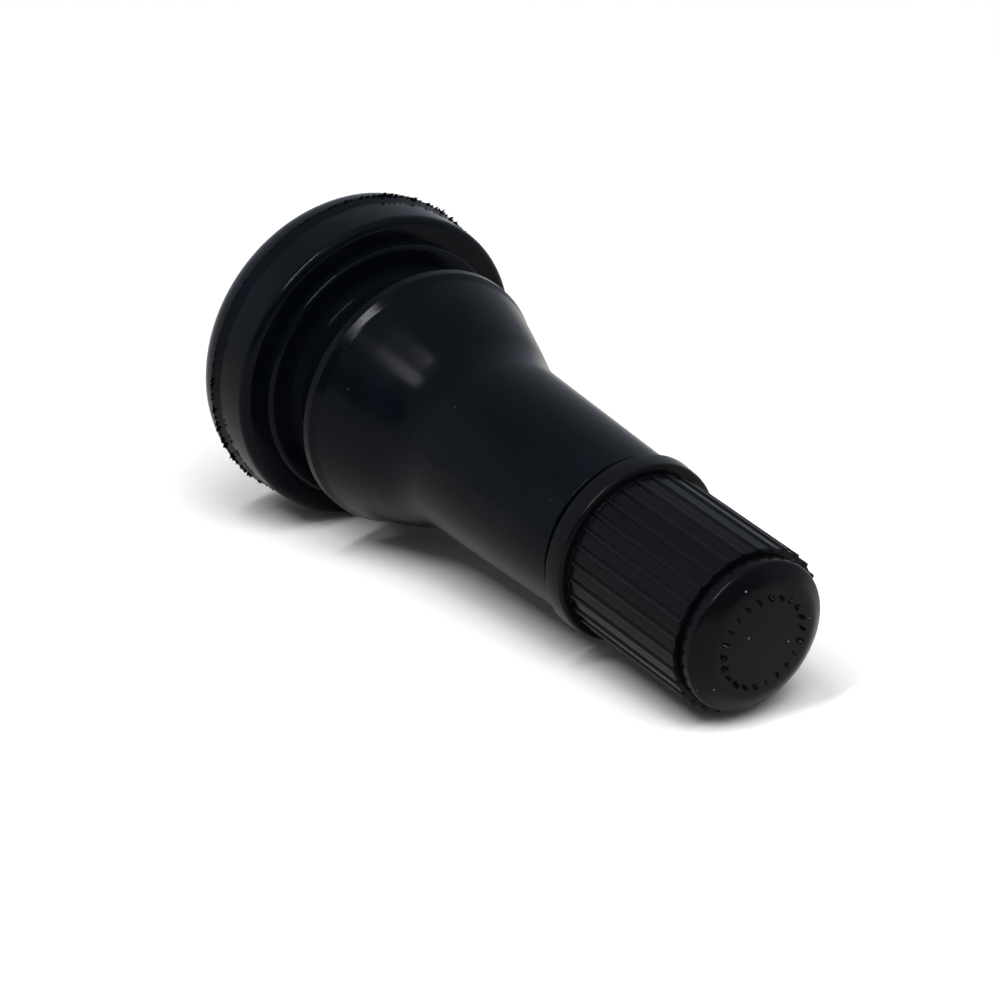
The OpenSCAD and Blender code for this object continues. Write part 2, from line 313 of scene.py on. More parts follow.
# the stem, the floor's upright and the resting side as the camera has them: right, up, back
acrossLens = math.sin(offLens)
stemSeen = Vector((acrossLens * math.cos(below), -acrossLens * math.sin(below), math.cos(offLens)))
upSeen = Vector((0, math.cos(lookDown), math.sin(lookDown)))
restSeen = -(upSeen - upSeen.dot(stemSeen) * stemSeen).normalized()
restAngle = math.radians(view["restSide"])
restRow = Vector((math.cos(restAngle), math.sin(restAngle), 0))
stemRow = Vector((0, 0, 1))
seenAxes = Matrix((restSeen, stemSeen.cross(restSeen), stemSeen))
rowAxes = Matrix((restRow, stemRow.cross(restRow), stemRow)).transposed()
toRow = rowAxes @ seenAxes
pixel = [c - view["picture"] / 2 for c in view["headPixel"]]
depth = view["headDepth"] * mm
headSeen = Vector((pixel[0] * depth / focal, -pixel[1] * depth / focal, -depth))
camera = bpy.data.objects.new("camera", bpy.data.cameras.new("camera"))
scene.collection.objects.link(camera)
camera.data.lens = view["lens"]
camera.data.clip_start = 0.01
camera.data.clip_end = 20
camera.matrix_world = Matrix.Translation(Vector((0, 0, front * mm)) - toRow @ headSeen) @ toRow.to_4x4()
scene.camera = camera
floorUp = toRow @ upSeen
floorRight = toRow @ Vector((1, 0, 0))
floorAway = floorUp.cross(floorRight)
print("camera: stem", view["stemOffLens"], "degrees off the lens axis")


# Materials

def rubberMaterial():
    # Moulded EPDM rubber, satin from a polished steel mould: near black, a soft sheen with a fairly crisp
    # window in it, faint patches where the mould release dried, a little grey dust, and painted shade in the
    # rim groove, where the sheen drops so the recess mirrors almost nothing.
    look = {
        "black": "#04070c",
        "bloom": "#080b11",     # patches of dried mould release
        "dust": "#4a4d50",
        "dull": "#06090e",      # rim groove: painted shade, its dark tone set here and its sheen cut below so the recess reads dark
        "patch": 5.0,           # size of the patches
        "patchRange": (0.3, 0.7),
        "bloomRange": (0.45, 0.75),
        "rough": (0.13, 0.2),
        "ripple": 1.6,          # slow unevenness of the moulded skin
        "rippleDepth": 0.006,
        "grain": 0.16,          # skin grain, drawn coarser than the real 0.05
        "grainDepth": 0.0011,
        "speck": 0.9,           # cells of which a few hold a dust speck
        "speckShare": 0.64,
        "speckEdge": (0.03, 0.06),
        "speckLevel": 0.6,
        "sheen": 0.088,         # specular level, and below it the rim groove's, cut low as painted shade
        "grooveShadeSheen": 0.02,
        "grooveSide": (7.1, 7.7),
        "grooveTop": (front + 4.0, front + 4.2),
    }
    material, tree, shader, where = newMaterial("EPDM rubber, moulded satin")
    patches = noise(tree, where, look["patch"], 4.0)
    rough = spread(tree, patches, look["patchRange"], look["rough"])
    cloud = spread(tree, patches, look["bloomRange"])
    tint = mixColour(tree, cloud, toLinear(look["black"]), toLinear(look["bloom"]))
    dusty = addSpecks(tree, where, tint, look, look["speckShare"])
    height = addNode(tree, "ShaderNodeSeparateXYZ", {0: where}).outputs[2]
    radius = vectorCalc(tree, "LENGTH", vectorCalc(tree, "MULTIPLY", where, (1, 1, 0)))
    # the rim groove's mask: there the colour turns to the groove's tone and the sheen drops, painted shade
    # in the recess
    inside = spread(tree, radius, [edge * mm for edge in look["grooveSide"]], (1.0, 0.0))
    under = spread(tree, height, [edge * mm for edge in look["grooveTop"]], (1.0, 0.0))
    groove = calc(tree, "MULTIPLY", inside, under)
    ripple = bump(tree, noise(tree, where, look["ripple"], 1.0), look["rippleDepth"])
    feed(tree, shader, {
        "Base Color": mixColour(tree, groove, dusty, toLinear(look["dull"])),
        "Roughness": rough,
        "Specular IOR Level": mixValue(tree, groove, look["sheen"], look["grooveShadeSheen"]),
        "Normal": bump(tree, noise(tree, where, look["grain"], 3.0), look["grainDepth"], ripple),
    })
    return material


def plasticMaterial():
    # Moulded polypropylene, spark-eroded satin: a touch greyer than the rubber, broad dull highlights,
    # cloudy patches, and pale grey specks: dust, denser on the end, where they also stand in as painted
    # glints on the studs.
    look = {
        "black": "#07080a",
        "worn": "#0a0b0e",      # slightly greyer cloudy patches
        # pale specks: dust on the ribs, and on the end also painted glints
        "dust": "#85888b",
        "patch": 3.0,
        "patchRange": (0.3, 0.7),
        "wornRange": (0.4, 0.7),
        "rough": (0.21, 0.26),
        "grain": 0.14,          # spark-eroded grain, drawn coarser than the real 0.04
        "grainDepth": 0.003,
        "speck": 0.62,          # cells of which a few hold a dust speck
        "speckShare": (0.86, 0.4),    # chosen cells lie above the first on the ribs, the second on the end, where the many specks are partly painted glints
        "speckEdge": (0.06, 0.12),
        "speckLevel": 0.7,
        "endDustAndGlintsFrom": (capEnd - 0.2, capEnd + 0.2),
        "sheen": 0.115,
    }
    material, tree, shader, where = newMaterial("Polypropylene, spark-eroded satin")
    patches = noise(tree, where, look["patch"], 4.0)
    rough = spread(tree, patches, look["patchRange"], look["rough"])
    cloud = spread(tree, patches, look["wornRange"])
    tint = mixColour(tree, cloud, toLinear(look["black"]), toLinear(look["worn"]))
    height = addNode(tree, "ShaderNodeSeparateXYZ", {0: where}).outputs[2]
    share = spread(tree, height, [edge * mm for edge in look["endDustAndGlintsFrom"]], look["speckShare"])
    feed(tree, shader, {
        "Base Color": addSpecks(tree, where, tint, look, share),
        "Roughness": rough,
        "Specular IOR Level": look["sheen"],
        "Normal": bump(tree, noise(tree, where, look["grain"], 3.0), look["grainDepth"]),
    })
    return material


def turnedMaterial(name, bright, dull, groove, rough):
    # Metal off the lathe: fine rings round the axis that stretch the highlights, and a slight tarnish.
    look = {"stretch": 0.02, "ringDepth": 0.003, "stain": 2.0, "stainRange": (0.3, 0.7)}
    material, tree, shader, where = newMaterial(name)
    flat = vectorCalc(tree, "MULTIPLY", where, (look["stretch"], look["stretch"], 1.0))
    stain = noise(tree, where, look["stain"], 5.0)
    feed(tree, shader, {
        "Base Color": mixColour(tree, stain, toLinear(bright), toLinear(dull)),
        "Roughness": spread(tree, stain, look["stainRange"], rough),
        "Metallic": 1.0,
        "Normal": bump(tree, noise(tree, flat, groove, 3.0), look["ringDepth"]),
    })
    return material


def softMaterial(name, plain, cloudy, grain, rough):
    # Cut from sheet or turned from rod: matte, a fine drag in the surface, slightly uneven colour.
    look = {"dragDepth": 0.006, "sheen": 0.3}
    material, tree, shader, where = newMaterial(name)
    drag = noise(tree, where, grain, 3.0)
    feed(tree, shader, {
        "Base Color": mixColour(tree, drag, toLinear(plain), toLinear(cloudy)),
        "Roughness": rough,
        "Specular IOR Level": look["sheen"],
        "Normal": bump(tree, drag, look["dragDepth"]),
    })
    return material


rubber = rubberMaterial()
plastic = plasticMaterial()
stemBrass = turnedMaterial("Brass, turned", "#cba85e", "#a9823f", groove=0.09, rough=(0.2, 0.34))
coreBrass = turnedMaterial("Brass, turned small", "#c4a563", "#a07b40", groove=0.07, rough=(0.24, 0.38))
springSteel = turnedMaterial("Stainless wire, drawn", "#b9bbbd", "#8f9294", groove=0.05, rough=(0.22, 0.32))
sealRubber = softMaterial("Nitrile rubber, punched", "#141416", "#222326", grain=0.25, rough=0.6)
seatRing = softMaterial("Red fluoropolymer, turned", "#a4362b", "#b84a3c", grain=0.2, rough=0.5)
print("materials: 7 made")


# Rubber body, one moulding from the head to the end of the stem

body = {
    "radius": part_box("rubber_body")[1].x / mm,
    "top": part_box("rubber_body")[1].z / mm,
    "around": 320,          # faces in a ring
    "airHole": 1.6,
    "holeEdge": 0.25,
    "baseEdge": 2.3,        # rounding up to the mould's parting line
    "partingEdge": 0.05,
    "partingGap": 0.06,     # keeps the rounding just under the parting line
    "wallRadius": 9.45,     # head's side, narrower than the parting line
    "wallFoot": 2.95,
    "wallFillet": 0.3,
    "frontEdge": 0.55,
    "ledge": front + 0.2,   # flat ledge round the lip's foot
    "lipRadius": 8.02,
    "lipHeight": front + 0.87,
    "lipEdge": 0.3,
    "neckRadius": 6.2,
    "grooveEnd": front + 4.1,
    "grooveFillet": 0.8,
    "bulbRadius": 7.87,
    "bulbEdge": 0.1,
    "landEnd": (7.82, front + 4.66, 0.06),      # short land behind the bulb's edge, then a bevel
    "bevelEnd": (7.58, front + 5.14, 1.5),
    "bulbCrown": 0.075,
    "noseEnd": (5.495, front + 10.73, 7.5),
    "stemTop": 4.98,
    "stemEdge": 0.08,
    "slot": 0.47,           # dark gap left under the cap's collar
    "slotRadius": 4.7,      # bottom of that gap
    "slotEdge": 0.05,
    "sleeve": 3.9,          # inside, against the brass
    "sleeveEdge": 0.1,
    "sleeveFoot": front + 7.1,
}
slotFoot = body["top"] - body["slot"]
bodyLine = rounded([
    (body["airHole"], body["sleeveFoot"], 0),
    (body["airHole"], 0, body["holeEdge"]),
    (body["radius"], 0, body["baseEdge"] - body["partingGap"]),
    (body["radius"], body["baseEdge"], body["partingEdge"]),
    (body["wallRadius"], body["wallFoot"], body["wallFillet"]),
    (body["wallRadius"], body["ledge"], body["frontEdge"]),
    (body["lipRadius"], body["ledge"], 0),
    (body["lipRadius"], body["lipHeight"], body["lipEdge"]),
    (body["neckRadius"], body["lipHeight"], body["grooveFillet"]),
    (body["neckRadius"], body["grooveEnd"], body["grooveFillet"]),
    (body["bulbRadius"], body["grooveEnd"], body["bulbEdge"]),
    body["landEnd"],
    body["bevelEnd"],
    *bowed(body["bevelEnd"], body["noseEnd"], body["bulbCrown"])[2:-2],    # ends left free for the roundings
    body["noseEnd"],
    (body["stemTop"], slotFoot, body["stemEdge"]),
    (body["slotRadius"], slotFoot, body["slotEdge"]),
    (body["slotRadius"], body["top"], body["slotEdge"]),
    (body["sleeve"], body["top"], body["sleeveEdge"]),
    (body["sleeve"], body["sleeveFoot"], 0),
])
rubberBody = lathe("rubber_body_moulded", bodyLine, body["around"], rubber)
place(rubberBody, "valve", "body_rubber", "rubber_body")
print("rubber body:", len(bodyLine), "rings")


# Flash: the thin torn fin that the mould leaves round its parting line

flash = {
    "Steps": 1400,
    "Ring radius": (body["radius"] - 0.04) * mm,
    "Ring height": body["baseEdge"] * mm,
    "Reach": 0.36 * mm,           # longest tatter
    "Root": 0.12 * mm,            # sunk into the rubber
    "Thickness": 0.05 * mm,
    "Quiet share": 0.45,          # reach where the fin tore off cleanly
    "First arc": math.radians(75),
    "Second arc": math.radians(292),
    "Tatter scale": 34.0,
    "Sway scale": 9.0,
    "Seed": 4.7,
}
tear = {
    "tatter": (0.4, 0.72),        # range of the noise, from clean to the longest tatter
    "arc": (0.72, 0.95),          # cosine from an arc's middle, from clean to ragged
    "sway": 2.0,                  # detail of the noise that bends the tips, and of the tatters
    "fray": 4.0,
    "frayRough": 0.7,
}
tree, size = newTree("mouldFlash", flash)
strip = addNode(tree, "GeometryNodeMeshGrid", {
    "Size X": 1.0, "Size Y": 1.0, "Vertices X": size["Steps"], "Vertices Y": 4})
spot = addNode(tree, "ShaderNodeSeparateXYZ", {0: addNode(tree, "GeometryNodeInputPosition")})
angle = calc(tree, "MULTIPLY", spot.outputs[0], fullTurn)
# rows across the strip, 0 to 3: under root, tip, upper root and the under root again
row = calc(tree, "MULTIPLY_ADD", spot.outputs[1], 3.0, 1.5)
isTip = calc(tree, "COMPARE", row, 1.0, 0.1)
isUpper = calc(tree, "COMPARE", row, 2.0, 0.1)
cosine = calc(tree, "COSINE", angle)
sine = calc(tree, "SINE", angle)
ringSpot = combine(tree, cosine, sine, size["Seed"])
tatters = addNode(tree, "ShaderNodeTexNoise", {
    "Vector": ringSpot, "Scale": size["Tatter scale"], "Detail": tear["fray"],
    "Roughness": tear["frayRough"]})
torn = spread(tree, tatters, tear["tatter"])
arcs = []
for arc in ("First arc", "Second arc"):
    apart = calc(tree, "SUBTRACT", angle, size[arc])
    arcs.append(spread(tree, calc(tree, "COSINE", apart), tear["arc"]))
either = calc(tree, "MAXIMUM", *arcs)
ragged = spread(tree, either, (0.0, 1.0), (size["Quiet share"], 1.0))
reach = calc(tree, "MULTIPLY", calc(tree, "MULTIPLY", torn, ragged), size["Reach"])
tipOut = calc(tree, "ADD", reach, size["Root"])
proud = calc(tree, "MULTIPLY", isTip, tipOut)
rootAt = calc(tree, "SUBTRACT", size["Ring radius"], size["Root"])
radius = calc(tree, "ADD", proud, rootAt)
lifted = calc(tree, "MULTIPLY_ADD", isUpper, size["Thickness"], size["Ring height"])
sway = addNode(tree, "ShaderNodeTexNoise", {
    "Vector": ringSpot, "Scale": size["Sway scale"], "Detail": tear["sway"]})
tipLift = calc(tree, "MULTIPLY_ADD", isTip, calc(tree, "MULTIPLY", sway, reach), lifted)
there = combine(tree, calc(tree, "MULTIPLY", radius, cosine), calc(tree, "MULTIPLY", radius, sine), tipLift)
bent = addNode(tree, "GeometryNodeSetPosition", {"Geometry": strip, "Position": there})
sewn = addNode(tree, "GeometryNodeMergeByDistance", {"Geometry": bent, "Distance": weld})
mouldFlash = bakeTree("mould_flash", tree, flash, sewn, rubber)
place(mouldFlash, "valve", "body_rubber")
print("mould flash:", len(mouldFlash.data.polygons), "faces")


# Dust cap: shell with collar, barrel, end ring and domed end

cap = {
    "foot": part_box("dust_cap")[0].z / mm,
    "top": capEnd,
    "around": 240,          # faces in a ring
    "footEdge": 0.05,
    "collarRadius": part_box("dust_cap")[1].x / mm,
    "collarHeight": 1.2,
    "collarDraft": 0.1,
    "collarEdge": 0.25,
    "barrelRadius": 4.68,
    "barrelEdge": 0.05,
    "ribCrest": 4.8,
    "ringHeight": 0.88,     # end ring, above a narrow step
    "stepHeight": 0.1,
    "stepSlope": 0.06,
    "stepEdge": 0.06,
    "stepFillet": 0.04,
    "necking": 4.22,        # radius in the step
    "ringRadius": 4.36,
    "ringEdge": 0.3,
    "shoulderDrop": 0.13,   # from the CAD's flat end to the foot of the sloping shoulder
    "shoulderRise": 0.66,
    "shoulderEdge": 1.4,
    "crownRadius": 3.4,     # slightly domed middle
    "crownRise": 0.1,
    "crownSteps": 8,
    "boreRadius": 4.18,     # between the threads
    "roofThick": 1.45,
    "roofFillet": 0.1,
    "mouthRadius": 4.3,
    "mouthDepth": 0.2,
    "mouthEdge": 0.06,
}
shoulderFoot = cap["top"] - cap["shoulderDrop"]
shoulderTop = shoulderFoot + cap["shoulderRise"]
ringFoot = cap["top"] - cap["ringHeight"]
barrelTop = ringFoot - cap["stepHeight"]
collarTop = cap["foot"] + cap["collarHeight"]
roof = cap["top"] - cap["roofThick"]
crownShares = [step / cap["crownSteps"] for step in range(cap["crownSteps"] - 1)]
capLine = rounded([
    *[(cap["crownRadius"] * t, shoulderTop + cap["crownRise"] * (1 - t ** 2), 0) for t in crownShares],
    (cap["crownRadius"], shoulderTop, cap["shoulderEdge"]),
    (cap["ringRadius"], shoulderFoot, cap["ringEdge"]),
    (cap["ringRadius"], ringFoot, cap["stepEdge"]),
    (cap["necking"], ringFoot - cap["stepSlope"], cap["stepFillet"]),
    (cap["necking"], barrelTop, cap["stepFillet"]),
    (cap["barrelRadius"], barrelTop, cap["barrelEdge"]),
    (cap["barrelRadius"], collarTop, cap["barrelEdge"]),
    (cap["collarRadius"] - cap["collarDraft"], collarTop, cap["collarEdge"]),
    (cap["collarRadius"], cap["foot"], cap["footEdge"]),
    (cap["mouthRadius"], cap["foot"], cap["mouthEdge"]),
    (cap["boreRadius"], cap["foot"] + cap["mouthDepth"], 0),
    (cap["boreRadius"], roof, cap["roofFillet"]),
    (0, roof, 0),
], steps=5)
capShell = lathe("dust_cap_shell", capLine, cap["around"], plastic)
place(capShell, "cap", "cap_plastic", "dust_cap")
print("dust cap:", len(capLine), "rings")


# Cap ribs: a rounded bar for each rib, leaning in with the mould's draft

ribs = {
    "Count": 30,
    "Foot radius": 4.52 * mm,
    "Top radius": 4.49 * mm,
    "Foot": (collarTop - 0.05) * mm,
    "Top": (barrelTop + 0.04) * mm,
    "Height": 0.3 * mm,          # from inside the barrel to the crest
    "Root width": 0.52 * mm,
    "Crest width": 0.2 * mm,
    "Rounding": 0.12 * mm,
    "Rounding steps": 4,
}
tree, size = newTree("capRibs", ribs)
line = addNode(tree, "GeometryNodeCurvePrimitiveLine", {
    "Start": combine(tree, size["Foot radius"], z=size["Foot"]),
    "End": combine(tree, size["Top radius"], z=size["Top"])})
# with this normal the section's height points out from the axis
upright = addNode(tree, "GeometryNodeSetCurveNormal", {"Curve": line, "Normal": (0, -1, 0)}, mode="FREE")
standing = trapezoid(tree, size["Height"], size["Root width"], size["Crest width"])
soft = addNode(tree, "GeometryNodeFilletCurve", {
    "Curve": standing, "Radius": size["Rounding"], "Count": size["Rounding steps"]}, mode="POLY")
bar = addNode(tree, "GeometryNodeCurveToMesh", {"Curve": upright, "Profile Curve": soft, "Fill Caps": True})
points = addNode(tree, "GeometryNodePoints", {"Count": size["Count"]})
spin = spinBy(tree, evenTurn(tree, size["Count"]))
ring = addNode(tree, "GeometryNodeInstanceOnPoints", {"Points": points, "Instance": bar, "Rotation": spin})
capRibs = bakeTree("cap_ribs", tree, ribs, ring, plastic)
place(capRibs, "cap", "cap_plastic")
print("cap ribs:", len(capRibs.data.polygons), "faces")


# End pips: a plain ring of small tapered studs on the cap's domed end

pips = {
    "Count": 22,
    "Sides": 14,
    "Ring radius": 2.6 * mm,
    "Height": (shoulderTop + 0.02) * mm,
    "Length": 0.2 * mm,
    "Width": 0.12 * mm,
    "Rise": 0.22 * mm,
    "Taper": 0.52,               # width of a stud's top, as a share of its foot
    "Uneven": 0.5,               # how much the worn pips differ in size and lean
    "Seed": 3,
}
tree, size = newTree("endPips", pips)
circle = addNode(tree, "GeometryNodeMeshCircle", {"Vertices": size["Count"], "Radius": size["Ring radius"]})
stud = addNode(tree, "GeometryNodeMeshCone", {
    "Vertices": size["Sides"], "Radius Top": size["Taper"], "Radius Bottom": 1.0, "Depth": 1.0})
chance = addNode(tree, "FunctionNodeRandomValue", {
    0: (-1.0, -1.0, -1.0), 1: (1.0, 1.0, 1.0), "Seed": size["Seed"]}, data_type="FLOAT_VECTOR")
uneven = addNode(tree, "ShaderNodeVectorMath", {0: chance, "Scale": size["Uneven"]}, operation="SCALE")
lean = addNode(tree, "ShaderNodeSeparateXYZ", {0: uneven}).outputs[2]
spin = spinBy(tree, calc(tree, "ADD", evenTurn(tree, size["Count"]), lean))
plain = combine(tree, size["Length"], size["Width"], size["Rise"])
scaled = vectorCalc(tree, "MULTIPLY_ADD", uneven, plain, plain)
ring = addNode(tree, "GeometryNodeInstanceOnPoints", {
    "Points": circle, "Instance": stud, "Rotation": spin, "Scale": scaled})
endPips = bakeTree("end_pips", tree, pips, raised(tree, ring, size["Height"]), plastic)
place(endPips, "cap", "cap_plastic")
print("end pips:", len(endPips.data.polygons), "faces")


# Threads: a ridge wound round the stem, and one wound inside the cap

def windThread(name, sizes, outwards, material):
    tree, size = newTree(name, sizes)
    coil = helix(tree, size["Steps"], size["Turns"], size["Root radius"], size["Length"])
    # this normal turns the section's height away from the axis, or towards it inside the cap
    upright = addNode(tree, "GeometryNodeSetCurveNormal", {
        "Curve": coil, "Normal": (0, 0, 1 if outwards else -1)}, mode="FREE")
    standing = trapezoid(tree, size["Depth"], size["Root width"], size["Crest width"], lift=0.48)
    # the ridge fades out over a small share of its length at both ends
    along = addNode(tree, "GeometryNodeSplineParameter").outputs["Factor"]
    fade = spread(tree, calc(tree, "PINGPONG", along, 0.5), (0.0, 0.04), (0.05, 1.0))
    ridge = addNode(tree, "GeometryNodeCurveToMesh", {
        "Curve": upright, "Profile Curve": standing, "Scale": fade, "Fill Caps": True})
    return bakeTree(name, tree, sizes, raised(tree, ridge, size["Foot"]), material)


stem = {
    "around": 160,           # faces in a ring
    "outside": 3.85,
    "footEdge": 0.3,
    "rootRadius": 3.4,       # between the threads
    "foot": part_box("brass_stem")[0].z / mm,
    "mouth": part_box("brass_stem")[1].z / mm,
    "mouthDrop": 0.3,        # outer chamfer of the mouth
    "mouthInset": 0.25,
    "mouthEdge": 0.05,
    "threadFoot": cap["foot"] + 0.5,
    "threadEnd": 0.5,        # of plain stem above the thread
    "runFrom": 0.2,          # slope from the shank to the thread's root, round the thread's foot
    "runTo": 0.1,
    "runFillet": 0.1,
    "airHole": 1.6,
    "coreBore": 2.0,
    "coreBoreFoot": front + 17.28,
    "seatFoot": front + 24.9,
    "seatTop": front + 26.9,
    "coreThread": 2.65,
    "coreChamfer": 0.4,
    "coreEdge": 0.04,
}
stemLine = rounded([
    (stem["airHole"], stem["coreBoreFoot"], 0),
    (stem["airHole"], stem["foot"], 0),
    (stem["outside"], stem["foot"], stem["footEdge"]),
    (stem["outside"], stem["threadFoot"] - stem["runFrom"], stem["runFillet"]),
    (stem["rootRadius"], stem["threadFoot"] + stem["runTo"], stem["runFillet"]),
    (stem["rootRadius"], stem["mouth"] - stem["mouthDrop"], 0),
    (stem["rootRadius"] - stem["mouthInset"], stem["mouth"], stem["mouthEdge"]),
    (stem["coreThread"] + stem["coreChamfer"], stem["mouth"], stem["coreEdge"]),
    (stem["coreThread"], stem["mouth"] - stem["coreChamfer"], 0),
    (stem["coreThread"], stem["seatTop"], 0),
    (stem["coreBore"], stem["seatFoot"], 0),
    (stem["coreBore"], stem["coreBoreFoot"], 0),
])
brassStem = lathe("brass_stem_turned", stemLine, stem["around"], stemBrass)
place(brassStem, "valve", "stem_brass", "brass_stem")
threadLength = stem["mouth"] - stem["threadEnd"] - stem["threadFoot"]
stemThread = {
    "Steps": 64,
    "Turns": threadLength / capPitch,
    "Root radius": stem["rootRadius"] * mm,
    "Length": threadLength * mm,
    "Depth": 0.45 * mm,
    "Root width": 0.74 * mm,
    "Crest width": 0.12 * mm,
    "Foot": stem["threadFoot"] * mm,
}
stemRidge = windThread("stem_thread", stemThread, True, stemBrass)
place(stemRidge, "valve", "stem_brass")
capTurns = 8.0
capThread = {
    "Steps": 64,
    "Turns": capTurns,
    "Root radius": cap["boreRadius"] * mm,
    "Length": capTurns * capPitch * mm,
    "Depth": 0.26 * mm,
    "Root width": 0.6 * mm,
    "Crest width": 0.14 * mm,
    "Foot": collarTop * mm,
}
capRidge = windThread("cap_thread", capThread, False, plastic)
place(capRidge, "cap", "cap_plastic")
print("threads:", len(stemRidge.data.polygons) + len(capRidge.data.polygons), "faces")


# Core plug: the CAD shape with its turned and milled edges broken

plugBreak = {"bevel": 0.07, "segments": 2, "flat": 2, "sharp": 30}
shape = bmesh.new()
shape.from_mesh(frame["nodes"]["core_plug"].data)
bmesh.ops.remove_doubles(shape, verts=shape.verts, dist=weld)
bmesh.ops.dissolve_limit(shape, angle_limit=math.radians(plugBreak["flat"]), verts=shape.verts,
                         edges=shape.edges)
sharp = [e for e in shape.edges if e.is_manifold and e.calc_face_angle() > math.radians(plugBreak["sharp"])]
bmesh.ops.bevel(shape, geom=sharp, offset=plugBreak["bevel"] * mm, segments=plugBreak["segments"],
                affect="EDGES", clamp_overlap=True)
corePlug = finishMesh("core_plug_milled", shape, coreBrass)
place(corePlug, "valve", "core_brass", "core_plug")
print("core plug:", len(corePlug.data.polygons), "faces")


# Plunger spring: round wire, squeezed between the barrel's floor and the pin's collar

spring = {
    "Coils": 6.0,
    "Steps": 24,
    "Sides": 8,
    "Coil radius": 0.9 * mm,
    "Wire": 0.15 * mm,           # radius
    "Foot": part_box("plunger_spring")[0].z,
    "Top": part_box("plunger_spring")[1].z,
}
tree, size = newTree("plungerSpring", spring)
overall = calc(tree, "SUBTRACT", size["Top"], size["Foot"])
rise = calc(tree, "SUBTRACT", overall, calc(tree, "MULTIPLY", size["Wire"], 2.0))
coil = helix(tree, size["Steps"], size["Coils"], size["Coil radius"], rise)
wire = addNode(tree, "GeometryNodeCurvePrimitiveCircle", {
    "Resolution": size["Sides"], "Radius": size["Wire"]})
tube = addNode(tree, "GeometryNodeCurveToMesh", {"Curve": coil, "Profile Curve": wire, "Fill Caps": True})
lifted = raised(tree, tube, calc(tree, "ADD", size["Foot"], size["Wire"]))
plungerSpring = bakeTree("plunger_spring_wound", tree, spring, lifted, springSteel)
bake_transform(plungerSpring)
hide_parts("plunger_spring")
print("plunger spring:", len(plungerSpring.data.polygons), "faces")


# CAD nodes that show as they are, inside the cap and the stem

shownAsBuilt = {
    "cap_seal": sealRubber,
    "core_barrel": coreBrass,
    "barrel_seal": seatRing,
    "plunger_pin": coreBrass,
    "spring_collar": coreBrass,
    "seal_cup": coreBrass,
    "cup_seal": sealRubber,
}
for node, material in shownAsBuilt.items():
    kept = frame["nodes"][node]
    kept.data.materials.clear()
    kept.data.materials.append(material)
print("kept as built:", len(shownAsBuilt), "nodes")


# Floor

floor = {
    "half": 2.5,                # metres
    "gap": 0.06,
    "colour": "#f4f4f4",
    "fibre": "#f7f7f7",
    "fibreSize": 0.6,
    "shadow": (0.05, 0.13),     # metres from the valve, over which the shadow fades out
    "glare": 1.12,              # how much brighter the camera has the paper
    "mirrored": 0.72,           # how bright the valve mirrors it
}
touching = ((body["wallRadius"], front), (body["radius"], body["baseEdge"]), (cap["ribCrest"], barrelTop))
leaning = math.hypot(floorUp.x, floorUp.y)
lowest = min(floorUp.z * height - radius * leaning for radius, height in touching)
floorLevel = (lowest - floor["gap"]) * mm
floorMesh = bpy.data.meshes.new("floor")
corners = [floorUp * floorLevel + floorRight * x * floor["half"] + floorAway * y * floor["half"]
           for x, y in ((-1, -1), (1, -1), (1, 1), (-1, 1))]
floorMesh.from_pydata(corners, [], [(0, 1, 2, 3)])
floorPlane = bpy.data.objects.new("floor", floorMesh)
scene.collection.objects.link(floorPlane)
paper = bpy.data.materials.new("White paper, matte")
paper.use_nodes = True
tree = paper.node_tree
tree.nodes.clear()
path = addNode(tree, "ShaderNodeLightPath")
fromCamera = path.outputs["Is Camera Ray"]
fromGlossy = path.outputs["Is Glossy Ray"]
where = addNode(tree, "ShaderNodeTexCoord").outputs["Object"]
fibres = noise(tree, where, floor["fibreSize"], 2.0)
pale = mixColour(tree, fibres, toLinear(floor["colour"]), toLinear(floor["fibre"]))
# the paper is overexposed in the photograph, so it looks brighter than what it reflects onto the valve
plainPaper = spread(tree, fromGlossy, (0.0, 1.0), (1.0, floor["mirrored"]))
glare = mixValue(tree, fromCamera, plainPaper, floor["glare"])
burnt = addNode(tree, "ShaderNodeVectorMath", {0: pale, "Scale": glare}, operation="SCALE")
matte = addNode(tree, "ShaderNodeBsdfDiffuse", {"Color": burnt})
white = calc(tree, "DIVIDE", glare, floor["glare"])
bright = addNode(tree, "ShaderNodeEmission", {"Color": (1, 1, 1, 1), "Strength": white})
off = vectorCalc(tree, "DISTANCE", where, floorUp * floorLevel)
far = spread(tree, off, floor["shadow"], interpolation_type="SMOOTHSTEP")
faded = calc(tree, "MULTIPLY", far, calc(tree, "MAXIMUM", fromCamera, fromGlossy))
topSide = addNode(tree, "ShaderNodeMixShader", {0: faded, 1: matte, 2: bright})
# from below the floor is clear, so that a view from there shows the valve
backfacing = addNode(tree, "ShaderNodeNewGeometry").outputs["Backfacing"]
under = calc(tree, "MULTIPLY", backfacing, fromCamera)
clear = addNode(tree, "ShaderNodeBsdfTransparent")
bothSides = addNode(tree, "ShaderNodeMixShader", {0: under, 1: topSide, 2: clear})
addNode(tree, "ShaderNodeOutputMaterial", {0: bothSides})
floorMesh.materials.append(paper)


# Lamps and room

def aim(azimuth, elevation):
    # a direction from the valve: azimuth 0 straight away from the camera and 90 to the right
    side = math.radians(azimuth)
    level = math.radians(elevation)
    flat = floorRight * math.sin(side) + floorAway * math.cos(side)
    return floorUp * math.sin(level) + flat * math.cos(level)


